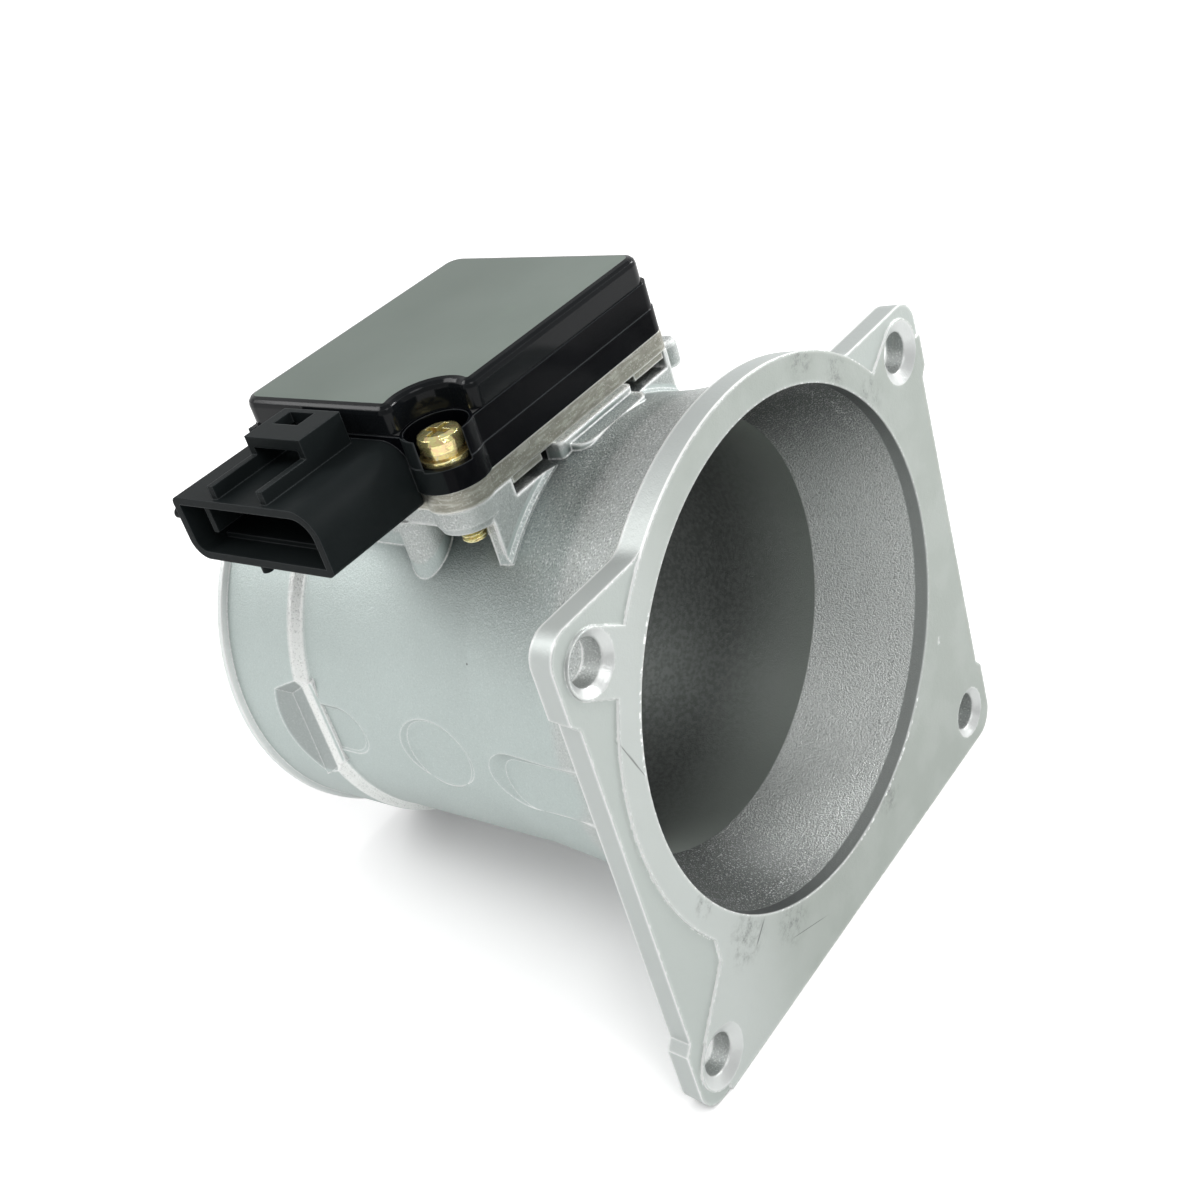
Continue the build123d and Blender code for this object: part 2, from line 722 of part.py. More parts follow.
def connector_body():
    plane = Plane(origin=(CONN_X, 0, 0), x_dir=(0, 1, 0), z_dir=(1, 0, 0))
    outline = connector_outline()
    shell = extrude(plane * outline, amount=MOD_LEFT - CONN_X + CASE_WALL / 2, dir=(1, 0, 0))
    shell -= slab(module_sketch(PLATE_RIGHT, PLATE_EAR_R, grow=PLATE_GAP), SEAT_Z - PAST, PLATE_Z)
    mouth = offset(outline, -CONN_WALL)
    cavity = extrude(plane * mouth, amount=CONN_DEPTH, dir=(1, 0, 0))
    shell -= cavity
    inner_z0 = CONN_Z0 + CONN_WALL
    shell += box(CONN_FLOOR_X, CONN_X + CONN_DEPTH + SUNK, CONN_Y0 + CONN_FLOOR_RIGHT,
                 CONN_Y1 - CONN_FLOOR_LEFT, inner_z0 - SUNK, inner_z0 + CONN_FLOOR_STEP)
    key_z = CONN_Z1 - CONN_WALL
    shell += box(CONN_X + CONN_KEY_IN, CONN_X + CONN_DEPTH + SUNK, CONN_KEY_Y,
                 CONN_KEY_Y + CONN_KEY_W, key_z - CONN_KEY_DROP, key_z + SUNK)
    return shell


def latch_wall(y):
    rail = box(RAIL_X, LATCH_X + SUNK, y, y + RAIL_T, CONN_Z1 - SUNK, RAIL_Z)
    wall = box(LATCH_X, LATCH_END_X, y, y + RAIL_T, CONN_Z1 - SUNK, LATCH_Z)
    return rail + wall


def latch():
    y0 = RAIL_RIGHT_Y
    y1 = RAIL_LEFT_Y
    bridge = latch_wall(y0) + latch_wall(y1 - RAIL_T)
    top = box(LATCH_X, LATCH_END_X, y0, y1, LATCH_Z - LATCH_T, LATCH_Z)
    top -= box(LATCH_WIN_X0, LATCH_WIN_X1, LATCH_WIN_Y0, LATCH_WIN_Y1, CONN_Z1, LATCH_Z + PAST)
    bridge += top
    return bridge


def nubs():
    low = rod(NUB_X, LOW_NUB_Y, CONN_Z0 - NUB_H, CONN_Z0 + CONN_WALL / 2, NUB_R)
    side_z = CONN_Z1 - SIDE_NUB_DROP
    side = rod_y(NUB_X, side_z, CONN_Y1 - CONN_WALL / 2, CONN_Y1 + NUB_H, NUB_R)
    gate = box(MOD_LEFT - GATE_OUT, MOD_LEFT + CASE_WALL / 2, GATE_Y - GATE_W / 2,
               GATE_Y + GATE_W / 2, CASE_Z - GATE_H, CASE_Z)
    return low + side + gate


def case():
    body = slab(module_sketch(CASE_RIGHT, EAR_R, grow=PROUD), PLATE_Z, CASE_LINE_Z)
    body += slab(module_sketch(CASE_RIGHT, EAR_R, far_ear=False), CASE_LINE_Z, CASE_Z)
    body -= slab(case_hollow(), PLATE_Z - PAST, CASE_Z + PAST)
    body -= rod(SCREW_X, SCREW_Y, EAR_Z, CASE_Z + PAST, POCKET_R)
    body -= box(-REACH, SCREW_X, -REACH, SCREW_Y, EAR_Z, CASE_Z + PAST)
    body -= rod(FAR_X, FAR_Y, EAR_Z, CASE_Z + PAST, POCKET_R)
    body -= box(CASE_RIGHT + PROUD, REACH, MOD_FRONT, REACH, EAR_Z, CASE_Z)
    body -= box(0, REACH, MOD_BACK + PROUD, REACH, EAR_Z, CASE_Z)
    body += connector_body()
    body += latch()
    body += nubs()
    body -= groove_for_seal()
    for x, y in screw_points():
        body -= rod(x, y, PLATE_Z - PAST, EAR_Z + PAST, THREAD_R + THREAD_GAP)
    for y in pin_rows():
        body -= blade(y)
    return body


def seal_path_sketch(inset):
    t = inset
    w = MOD_RIGHT - MOD_LEFT - 2 * t
    d = MOD_BACK - MOD_FRONT - 2 * t
    ring = Pos((MOD_LEFT + MOD_RIGHT) / 2, (MOD_FRONT + MOD_BACK) / 2) * Rectangle(w, d)
    ring = fillet(ring.vertices(), HOLLOW_CORNER_R)
    return ring - Pos(SCREW_X, SCREW_Y) * Circle(POCKET_R + t)


def seal_sketch():
    inset = (CASE_WALL - SEAL_W) / 2
    return seal_path_sketch(inset) - seal_path_sketch(inset + SEAL_W)


def groove_for_seal():
    return slab(seal_sketch(), CASE_Z - SEAL_DEPTH, CASE_Z + PAST)


def cover_seal():
    return slab(seal_sketch(), CASE_Z - SEAL_DEPTH, CASE_Z)


# Cover
def cover_sketch(inset):
    w = MOD_RIGHT - MOD_LEFT - 2 * inset
    d = MOD_BACK - MOD_FRONT - 2 * inset
    cx = (MOD_LEFT + MOD_RIGHT) / 2
    cy = (MOD_FRONT + MOD_BACK) / 2
    lid = Pos(cx, cy) * Rectangle(w, d)
    whole = [v for v in lid.vertices() if v.X > cx or v.Y > cy]
    lid = fillet(whole, MOD_CORNER_R)
    lid -= Pos(SCREW_X, SCREW_Y) * Circle(COVER_NOTCH_R + inset)
    lid -= Pos(SCREW_X - REACH / 2, SCREW_Y - REACH / 2) * Rectangle(REACH, REACH)
    cusps = [v for v in lid.vertices() if
             abs(math.hypot(v.X - SCREW_X, v.Y - SCREW_Y) - COVER_NOTCH_R - inset) < NEAR]
    return fillet(cusps, COVER_CUSP_R)


def cover():
    lid = eased_slab(cover_sketch(COVER_INSET), CASE_Z, COVER_Z, COVER_EDGE_R)
    lid -= slab(cover_sketch(CASE_WALL), CASE_Z - PAST, COVER_Z - COVER_WALL)
    return lid


# Terminals
def pin_rows():
    mid = (CONN_Y0 + CONN_Y1) / 2
    half = (PIN_COUNT - 1) / 2
    return [mid + (i - half) * PIN_PITCH for i in range(PIN_COUNT)]


def blade(y):
    w = PIN_W / 2
    t = PIN_T / 2
    return box(PIN_TIP_X, PIN_LEG_X + PIN_T, y - w, y + w, PIN_Z - t, PIN_Z + t)


def terminal(y):
    w = PIN_W / 2
    pin = blade(y)
    tip = [e for e in pin.edges() if e.center().X < PIN_TIP_X + NEAR]
    pin = chamfer(tip, PIN_BEVEL)
    board_top = PLATE_Z + BOARD_T
    leg = box(PIN_LEG_X, PIN_LEG_X + PIN_T, y - w, y + w, board_top, PIN_Z)
    return pin + leg


# Board
def post_points():
    dx = POST_PITCH_X / 2
    dy = POST_PITCH_Y / 2
    return [(PROBE_X - dx, PROBE_Y - dy), (PROBE_X + dx, PROBE_Y - dy),
            (PROBE_X - dx, PROBE_Y + dy), (PROBE_X + dx, PROBE_Y + dy)]


def square_post(x, y, z0, z1):
    half = POST_W / 2
    return box(x - half, x + half, y - half, y + half, z0, z1)


def circuit_board():
    board = box(BOARD_X0, BOARD_X1, BOARD_Y0, BOARD_Y1, PLATE_Z, PLATE_Z + BOARD_T)
    for x, y in post_points():
        board -= square_post(x, y, PLATE_Z - PAST, PLATE_Z + BOARD_T + PAST)
    return board


def on_board(size, xy):
    w, d, h = size
    z = PLATE_Z + BOARD_T
    part = box(xy[0] - w / 2, xy[0] + w / 2, xy[1] - d / 2, xy[1] + d / 2, z, z + h)
    return chamfer(part.edges().group_by(Axis.Z)[-1], CHIP_BEVEL)


# Probe
def probe_body():
    stalk = rod(PROBE_X, PROBE_Y, PROBE_TIP_Z, PLATE_Z, PROBE_R)
    stalk += rod(PROBE_X, PROBE_Y, PLATE_Z - PROBE_HEAD_T, PLATE_Z, PROBE_HEAD_R)
    groove_r = PROBE_R + PROBE_GAP - RING_W
    groove = rod(PROBE_X, PROBE_Y, RING_GROOVE_Z, RING_GROOVE_Z + RING_H, PROBE_R + PAST)
    stalk -= groove - rod(PROBE_X, PROBE_Y, RING_GROOVE_Z - PAST, RING_GROOVE_Z + RING_H + PAST, groove_r)
    for x, y in post_points():
        stalk -= square_post(x, y, PROBE_TIP_Z - PAST, PLATE_Z + PAST)
    return stalk


def probe_ring():
    r = PROBE_R + PROBE_GAP
    ring = rod(PROBE_X, PROBE_Y, RING_GROOVE_Z, RING_GROOVE_Z + RING_H, r)
    return ring - rod(PROBE_X, PROBE_Y, RING_GROOVE_Z - PAST, RING_GROOVE_Z + RING_H + PAST, r - RING_W)


def lead_post(x, y):
    return square_post(x, y, POST_TIP_Z, PLATE_Z + BOARD_T + POST_STAND)


def element(y):
    half = (POST_PITCH_X - POST_W) / 2
    return Pos(PROBE_X, y, ELEMENT_Z) * Rot(0, 90, 0) * Cylinder(ELEMENT_R, 2 * half)


# Screws
def screw_points():
    return [(SCREW_X, SCREW_Y), (FAR_X, FAR_Y)]


def screw_seat():
    # Underside of the screw's head, on the two washers.
    return EAR_Z + FLAT_T + LOCK_T


def screw(x, y):
    under = screw_seat()
    top = under + HEAD_H
    tip = under - SCREW_LEN
    dome = arc_points((HEAD_R - HEAD_DOME, top - HEAD_DOME), HEAD_DOME, 0, 90)
    body = turned(x, y, [
        (0, tip),
        (THREAD_R - TIP_EASE, tip),
        (THREAD_R, tip + TIP_EASE),
        (THREAD_R, under),
        (HEAD_R, under),
        *dome,
        (0, top),
    ])
    w = CROSS_W / 2
    cut = box(x - CROSS_R, x + CROSS_R, y - w, y + w, top - CROSS_DEPTH, top + PAST)
    cut += box(x - w, x + w, y - CROSS_R, y + CROSS_R, top - CROSS_DEPTH, top + PAST)
    return body - cut


def flat_washer(x, y, floor):
    disc = rod(x, y, floor, floor + FLAT_T, FLAT_R)
    return disc - rod(x, y, floor - PAST, floor + FLAT_T + PAST, WASHER_BORE_R)


def lock_washer(x, y, floor):
    z = floor + FLAT_T
    disc = rod(x, y, z, z + LOCK_T, LOCK_R)
    disc -= rod(x, y, z - PAST, z + LOCK_T + PAST, WASHER_BORE_R)
    slit = Pos(LOCK_R, 0, 0) * Rot(LOCK_SLIT_LEAN, 0, 0) * Box(2 * LOCK_R, LOCK_SLIT, 3 * LOCK_T)
    return disc - Pos(x, y, z + LOCK_T / 2) * Rot(0, 0, LOCK_SLIT_AT) * slit


def save(shape, name):
    export_step(shape, f"parts/{name}.step")


def main():
    save(housing(), "housing")
    save(base_plate(), "base_plate")
    save(case(), "module_case")
    save(cover(), "module_cover")
    save(cover_seal(), "cover_seal")
    save(circuit_board(), "circuit_board")
    save(on_board(CHIP_SIZE, CHIP_XY), "control_chip")
    save(on_board(POWER_SIZE, POWER_XY), "power_transistor")
    save(on_board(CAP_SIZE, CAP_1_XY), "capacitor_1")
    save(on_board(CAP_SIZE, CAP_2_XY), "capacitor_2")
    save(on_board(TRIM_SIZE, TRIM_XY), "trim_resistor")
    for i, y in enumerate(pin_rows(), 1):
        save(terminal(y), f"terminal_{i}")
    save(probe_body(), "probe_body")
    save(probe_ring(), "probe_ring")
    for i, (x, y) in enumerate(post_points(), 1):
        save(lead_post(x, y), f"lead_post_{i}")
    dy = POST_PITCH_Y / 2
    save(element(PROBE_Y - dy), "hot_element")
    save(element(PROBE_Y + dy), "cold_element")
    for side, (x, y) in zip(("near", "far"), screw_points()):
        save(screw(x, y), f"screw_{side}")
        save(lock_washer(x, y, EAR_Z), f"lock_washer_{side}")
        save(flat_washer(x, y, EAR_Z), f"flat_washer_{side}")


main()
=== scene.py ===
import math

import bmesh
import bpy
from mathutils import Matrix, Vector

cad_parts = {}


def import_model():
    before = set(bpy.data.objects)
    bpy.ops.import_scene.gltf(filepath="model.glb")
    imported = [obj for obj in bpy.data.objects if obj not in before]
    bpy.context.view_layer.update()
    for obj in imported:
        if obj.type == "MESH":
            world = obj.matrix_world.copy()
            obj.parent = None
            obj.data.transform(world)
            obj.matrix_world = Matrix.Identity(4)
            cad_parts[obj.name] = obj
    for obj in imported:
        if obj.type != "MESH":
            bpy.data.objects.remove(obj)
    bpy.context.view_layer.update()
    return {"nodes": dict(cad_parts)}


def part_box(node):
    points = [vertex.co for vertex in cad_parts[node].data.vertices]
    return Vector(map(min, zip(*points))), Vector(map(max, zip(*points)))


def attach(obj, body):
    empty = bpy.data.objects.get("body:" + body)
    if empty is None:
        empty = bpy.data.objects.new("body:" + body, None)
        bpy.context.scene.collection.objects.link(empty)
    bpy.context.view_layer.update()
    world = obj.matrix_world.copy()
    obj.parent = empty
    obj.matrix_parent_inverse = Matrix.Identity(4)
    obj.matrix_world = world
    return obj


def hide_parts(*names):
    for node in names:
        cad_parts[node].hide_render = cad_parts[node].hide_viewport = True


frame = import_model()
nodes = frame["nodes"]
MM = 0.001

# Camera, from the photograph
CAMERA_AT = Vector((-167.171, -128.583, 139.36)) * MM
CAMERA_AZIMUTH = -44.785
CAMERA_ELEVATION = 29.67
CAMERA_ROLL = -17.99
CAMERA_LENS = 47.515
CAMERA_SENSOR = 36.0

# Lamps: metres to the side, up and back from the middle of the part, width, and watts
LAMPS = (
    ("key", 0.55, 0.7, -0.05, 0.2, 3.8),
    ("front", 0.2, 0.35, 0.85, 0.5, 3.4),
    ("spark", -0.25, 0.75, 0.35, 0.05, 0.5),
    ("left", -0.8, 0.45, 0.2, 0.4, 3.0),
)
LAMP_AIM = Vector((0, 45, 0)) * MM

# Floor, in millimetres: the part lies on the flange's back edge and on the end bead
REST_FRONT = Vector((0, 4.7, -53.13)) * MM
REST_BACK = Vector((0, 93.4, -41.7)) * MM
REST_GAP = 0.02
FLOOR_HALF = 6000.0
FLOOR_TONES = ((0.80, 0.80, 0.80), (0.82, 0.82, 0.82))
FLOOR_LIFT = 0.42
FLOOR_NEAR = 200.0
FLOOR_FAR = 900.0
FLOOR_GLOSSY = 0.45
FLOOR_SHADE = 0.3
FLOOR_SHADE_REACH = 30.0

# Room light: the white backdrop beyond the part, and the room elsewhere
ROOM_BRIGHT = 1.05
ROOM_DIM = 0.45
BACKDROP_WAY = 0.71

# Places on the part, in millimetres, as in the CAD
LIP_R = 42.1
LIP_DEPTH = 2.6
CONE_END_Y = 20.4
COLLAR_Y = 75.6
COLLAR_R = 40.7
BODY_R = 39.1
BEAD_Y = 91.9
FLANGE_T = 4.7
FACE_DROP = 0.45
CONNECTOR_X = -31.2
HOLES_MID = (0.4, -8.485)
HOLES_HALF = (45.0, 37.815)
HOLE_R = 3.5
SINK_R = 5.4
SINK_DEPTH = 1.15

# Screw thread
SCREW_LEN = 16.0
SHANK_R = 2.0
HEAD_OVERLAP = 0.3
TIP_EASE = 0.4
TIP_START = 0.5
THREAD_PITCH = 0.7
THREAD_DEPTH = 0.38
THREAD_CREST = 1.2
THREAD_STEPS = 36
THREAD_ROWS = 8

# Dark specks on the tube: centre and reach
SPECKS = (
    ((-34.5, 48.9, 22.1), 0.45),
    ((-33.3, 38.8, 23.9), 0.6),
    ((-35.6, 36.0, 16.5), 0.3),
    ((-38.4, 60.0, 9.0), 0.3),
)

# Marks on the flange's face: centre and reach, or both ends and width
SMUDGES = (
    ((17.1, 43.2), 5.0),
    ((25.4, 36.1), 4.0),
    ((33.8, 27.6), 5.0),
    ((-38.0, -19.5), 3.5),
    ((-31.5, -33.0), 6.5),
    ((-20.0, -40.0), 6.0),
    ((14.0, -41.0), 5.0),
)
SCRATCHES = (
    ((-26.8, -33.7), (-30.0, -36.1), 0.35),
    ((-44.5, 15.6), (-42.4, 9.5), 0.16),
    ((-43.4, 12.9), (-41.8, 7.9), 0.12),
    ((-33.5, 25.0), (-36.0, 17.5), 0.12),
    ((-21.0, -43.0), (-12.5, -46.5), 0.14),
)

# Tones of the cast metal, a little greener than grey
SILVER = ((0.490, 0.552, 0.535), (0.560, 0.628, 0.610))
ROUGH_SKIN_AND_SHADE = (0.26, 0.275, 0.275)
FITTING = (0.545, 0.568, 0.555)
UNDERSIDE_SHADE = (0.26, 0.28, 0.27)
CUT_STEP = (0.36, 0.385, 0.38)
BEAD = (0.80, 0.835, 0.82)
FACE = (0.505, 0.54, 0.515)
RING_SHADE_AND_LIGHT = ((0.425, 0.46, 0.430), (0.56, 0.595, 0.575))
RING_CLOUD = (0.54, 0.575, 0.55)
MARK = (0.16, 0.165, 0.16)
THROAT_SHADE = ((0.080, 0.087, 0.082), (0.345, 0.375, 0.350))
THROAT_GRAIN = (0.30, 0.32, 0.31)
CONE_SHADE_AND_LIGHT = ((0.100, 0.108, 0.104), (0.68, 0.705, 0.688))
LIP_SHADE_AND_LIGHT = ((0.12, 0.128, 0.127), (0.54, 0.57, 0.555))
HOLE_SHADE = (0.38, 0.40, 0.39)
SINK = (0.66, 0.68, 0.67)
COLLAR = (0.93, 0.95, 0.93)
GLINT = (0.95, 0.96, 0.95)
PIT = (0.10, 0.11, 0.11)
SPECK = (0.12, 0.12, 0.12)
BROAD_SHADE = (0.10, 0.115, 0.12)
DEEP_SHADE = (0.09, 0.10, 0.10)
BARE_METAL_AND_HIGHLIGHT = (0.97, 0.98, 0.97)

# Tones of the base plate
PLATE = ((0.26, 0.255, 0.212), (0.375, 0.37, 0.32))
PLATE_STREAKS = ((0.70, 0.70, 0.64), (0.18, 0.175, 0.145))
PLATE_GLINT = (0.80, 0.80, 0.75)
PLATE_SHADE = (0.08, 0.08, 0.065)
PLATE_EDGE_HIGHLIGHT = (0.95, 0.95, 0.91)

# Tones of the black plastics
CASE = ((0.001, 0.0012, 0.002), (0.003, 0.0033, 0.0045))
SHELL = ((0.007, 0.0095, 0.010), (0.013, 0.016, 0.0165))
CASE_EDGE_HIGHLIGHT = (0.11, 0.12, 0.125)
COVER_SIDE = ((0.004, 0.005, 0.006), (0.008, 0.009, 0.010))
COVER_TOP = ((0.127, 0.156, 0.136), (0.184, 0.214, 0.193))
COVER_STAIN = (0.16, 0.215, 0.165)
COVER_FAR = (0.07, 0.088, 0.075)
COVER_EDGE_HIGHLIGHT = (0.16, 0.17, 0.175)

# Tones of the yellow zinc: gold, rose, green, painted shade in the seams between parts, and painted
# highlights on the edges
ZINC_GOLD = (0.96, 0.88, 0.36)
ZINC_ROSE = (0.92, 0.58, 0.34)
ZINC_GREEN = (0.74, 0.80, 0.56)
ZINC_SEAM_SHADE = (0.14, 0.08, 0.03)
ZINC_EDGE_HIGHLIGHT = (1.0, 0.95, 0.72)
SCREW_TONE = (1.0, 0.90, 0.45)
LOCK_WASHER_TONE = (0.36, 0.13, 0.05)
FLAT_WASHER_TONE = (0.95, 0.78, 0.34)

# Small and hidden parts: nodes, material, two tones, roughness and metal share
SMALL_PARTS = (
    (("cover_seal",), "seal_rubber", (0.02, 0.02, 0.02), (0.04, 0.04, 0.04), 0.6, 0.0),
    (("probe_ring",), "ring_rubber", (0.02, 0.02, 0.02), (0.05, 0.04, 0.04), 0.55, 0.0),
    (("probe_body",), "probe_plastic", (0.02, 0.02, 0.02), (0.04, 0.04, 0.04), 0.4, 0.0),
    (("circuit_board",), "board", (0.03, 0.10, 0.06), (0.05, 0.16, 0.09), 0.4, 0.0),
    (("control_chip",), "chip", (0.02, 0.02, 0.02), (0.03, 0.03, 0.03), 0.5, 0.0),
    (("power_transistor",), "transistor", (0.02, 0.02, 0.02), (0.03, 0.03, 0.03), 0.5, 0.0),
    (("trim_resistor",), "ceramic", (0.5, 0.52, 0.5), (0.62, 0.64, 0.62), 0.4, 0.0),
    (("capacitor_1", "capacitor_2"), "capacitor", (0.45, 0.30, 0.16), (0.55, 0.38, 0.2), 0.4, 0.0),
    (("hot_element", "cold_element"), "glass_bead", (0.30, 0.16, 0.08), (0.42, 0.24, 0.12), 0.15, 0.0),
    ([f"terminal_{i + 1}" for i in range(6)] + [f"lead_post_{i + 1}" for i in range(4)],
     "tin", (0.62, 0.62, 0.60), (0.78, 0.78, 0.75), 0.25, 1.0),
)


class Shader:
    """The node tree of a material or world, with short calls for the nodes used here."""

    def __init__(self, owner):
        owner.use_nodes = True
        self.owner = owner
        self.tree = owner.node_tree

    def add(self, kind, **settings):
        node = self.tree.nodes.new(kind)
        for key, value in settings.items():
            setattr(node, key, value)
        return node

    def feed(self, socket, value):
        if isinstance(value, bpy.types.NodeSocket):
            self.tree.links.new(value, socket)
        else:
            socket.default_value = value

    def set(self, **values):
        """Inputs of the Principled shader, by name."""
        for key, value in values.items():
            self.feed(self.tree.nodes["Principled BSDF"].inputs[key.replace("_", " ")], value)

    # Arithmetic
    def math(self, operation, a, b=0.0, clamp=False):
        node = self.add("ShaderNodeMath", operation=operation, use_clamp=clamp)
        self.feed(node.inputs[0], a)
        self.feed(node.inputs[1], b)
        return node.outputs[0]

    def plus(self, a, b):
        return self.math("ADD", a, b)

    def minus(self, a, b):
        return self.math("SUBTRACT", a, b)

    def product(self, *values):
        result = values[0]
        for value in values[1:]:
            result = self.math("MULTIPLY", result, value)
        return result

    def most(self, *values):
        """The largest of the values."""
        result = values[0]
        for value in values[1:]:
            result = self.math("MAXIMUM", result, value)
        return result

    def inverse(self, a):
        return self.minus(1.0, a)

    def weighed(self, *terms):
        """Sum of the masks, each times its weight, kept within 0 and 1."""
        total = 0.0
        for mask, weight in terms:
            total = self.math("ADD", total, self.product(mask, weight), clamp=True)
        return total

    def length(self, a, b):
        return self.math("SQRT", self.plus(self.product(a, a), self.product(b, b)))

    # Places and directions
    def place(self):
        """Position on the part in millimetres."""
        coords = self.add("ShaderNodeTexCoord").outputs["Object"]
        scale = self.add("ShaderNodeVectorMath", operation="SCALE")
        self.feed(scale.inputs[0], coords)
        scale.inputs["Scale"].default_value = 1 / MM
        return scale.outputs[0]

    def split(self, vector):
        node = self.add("ShaderNodeSeparateXYZ")
        self.feed(node.inputs[0], vector)
        return node.outputs[0], node.outputs[1], node.outputs[2]

    def facing(self):
        """Surface normal in the part's own axes."""
        return self.split(self.add("ShaderNodeTexCoord").outputs["Normal"])

    # Patterns and blends
    def noise(self, vector, size, detail=2.0, roughness=0.5, stretch=(1, 1, 1)):
        """Noise whose features are about size millimetres, from 0 to 1."""
        mapping = self.add("ShaderNodeMapping")
        self.feed(mapping.inputs["Vector"], vector)
        mapping.inputs["Scale"].default_value = [1 / (size * pull) for pull in stretch]
        node = self.add("ShaderNodeTexNoise")
        self.feed(node.inputs["Vector"], mapping.outputs[0])
        node.inputs["Scale"].default_value = 1.0
        node.inputs["Detail"].default_value = detail
        node.inputs["Roughness"].default_value = roughness
        return node.outputs["Fac"]

    def ramp(self, value, start, end, low=0.0, high=1.0):
        """Smooth step of value from start to end."""
        node = self.add("ShaderNodeMapRange", interpolation_type="SMOOTHSTEP")
        limits = {"From Min": start, "From Max": end, "To Min": low, "To Max": high}
        for name, number in limits.items():
            node.inputs[name].default_value = number
        self.feed(node.inputs["Value"], value)
        return node.outputs[0]

    def band(self, value, start, end, soft):
        """1 between start and end, 0 outside."""
        rise = self.ramp(value, start - soft, start + soft)
        fall = self.ramp(value, end + soft, end - soft)
        return self.product(rise, fall)

    def mix(self, share, a, b):
        """Colour a where share is 0, b where it is 1."""
        node = self.add("ShaderNodeMix", data_type="RGBA")
        self.feed(node.inputs[0], share)
        self.feed(node.inputs[6], rgb(a))
        self.feed(node.inputs[7], rgb(b))
        return node.outputs[2]

    def layers(self, base, *coats):
        """A base colour with coats over it, each a share and a colour."""
        for share, colour in coats:
            base = self.mix(share, base, colour)
        return base

    def blend(self, share, a, b):
        """Number a where share is 0, b where it is 1."""
        node = self.add("ShaderNodeMix", data_type="FLOAT")
        self.feed(node.inputs[0], share)
        self.feed(node.inputs[2], a)
        self.feed(node.inputs[3], b)
        return node.outputs[0]

    def stroke(self, across, up, start, end, width):
        """1 on a straight line between two points of a plane, 0 off it."""
        run = Vector(end) - Vector(start)
        far = run.length
        run.normalize()
        dx = self.minus(across, start[0])
        dy = self.minus(up, start[1])
        along = self.plus(self.product(dx, run.x), self.product(dy, run.y))
        aside = self.minus(self.product(dx, run.y), self.product(dy, run.x))
        line = self.band(aside, -width / 2, width / 2, width / 2)
        return self.product(line, self.band(along, 0.0, far, far / 4))

    # Edges, corners and relief
    def rounded(self, radius):
        """Surface normal with its edges rounded by radius millimetres."""
        node = self.add("ShaderNodeBevel", samples=6)
        node.inputs["Radius"].default_value = radius * MM
        return node.outputs[0]

    def edges(self, soft, reach=0.25):
        """1 on sharp edges, where the rounded normal leaves the true one."""
        dot = self.add("ShaderNodeVectorMath", operation="DOT_PRODUCT")
        self.feed(dot.inputs[0], soft)
        self.feed(dot.inputs[1], self.add("ShaderNodeNewGeometry").outputs["Normal"])
        return self.ramp(self.inverse(dot.outputs["Value"]), 0.0, reach)

    def edge_wear_and_highlight(self, reach):
        """1 on outer edges and thin ribs, 0 on flat ground: where wear and painted edge highlights go."""
        node = self.add("ShaderNodeAmbientOcclusion", samples=6, inside=True, only_local=True)
        node.inputs["Distance"].default_value = reach * MM
        return self.ramp(self.inverse(node.outputs["AO"]), 0.10, 0.42)

    def crevice(self, reach):
        """1 deep in inner corners, 0 on open ground."""
        node = self.add("ShaderNodeAmbientOcclusion", samples=6)
        node.inputs["Distance"].default_value = reach * MM
        return self.ramp(self.inverse(node.outputs["AO"]), 0.08, 0.75)

    def bump(self, height, depth, normal=None):
        """Relief of the given depth in millimetres, over the true or a rounded normal."""
        node = self.add("ShaderNodeBump")
        node.inputs["Distance"].default_value = depth * MM
        self.feed(node.inputs["Height"], height)
        if normal is not None:
            self.feed(node.inputs["Normal"], normal)
        return node.outputs[0]


def rgb(value):
    """A colour as a socket takes it."""
    if isinstance(value, bpy.types.NodeSocket):
        return value
    return (*value, 1.0)


def material_shader(name):
    return Shader(bpy.data.materials.new(name))


# Cast aluminium
def metal_zones(s, place):
    """Masks for the parts of the casting, each from 0 to 1, and the places they come from."""
    x, y, z = s.split(place)
    nx, ny, nz = s.facing()
    radius = s.length(x, z)
    at = {
        "x": x, "y": y, "z": z, "radius": radius, "up": nz,
        "outward": s.math("DIVIDE", s.plus(s.product(nx, x), s.product(nz, z)), radius),
        "front": s.ramp(ny, -0.90, -0.97),
    }
    return {**at, **bore_zones(s, at), **face_zones(s, at), **outer_zones(s, at)}


def bore_zones(s, at):
    y = at["y"]
    bore = s.product(s.ramp(at["outward"], -0.2, -0.6), s.ramp(at["radius"], LIP_R + 0.6, LIP_R + 0.3))
    lit_side = s.minus(s.product(at["x"], 0.82), s.product(at["z"], 0.57))
    return {
        "bore": bore,
        "cone": s.product(bore, s.band(y, LIP_DEPTH, CONE_END_Y, 0.15)),
        "lip": s.product(bore, s.ramp(y, LIP_DEPTH + 0.15, LIP_DEPTH - 0.15)),
        "throat_mouth": s.ramp(y, 42.0, 18.0),
        # painted light: 1 on the side of the bore that faces the light, 0 on the far side
        "bore_lit": s.ramp(s.math("DIVIDE", lit_side, at["radius"]), 0.05, 1.0),
    }


def from_nearest(s, value, middle, half):
    """Distance along one axis from the nearer of two rows of holes."""
    return s.minus(s.math("ABSOLUTE", s.minus(value, middle)), half)


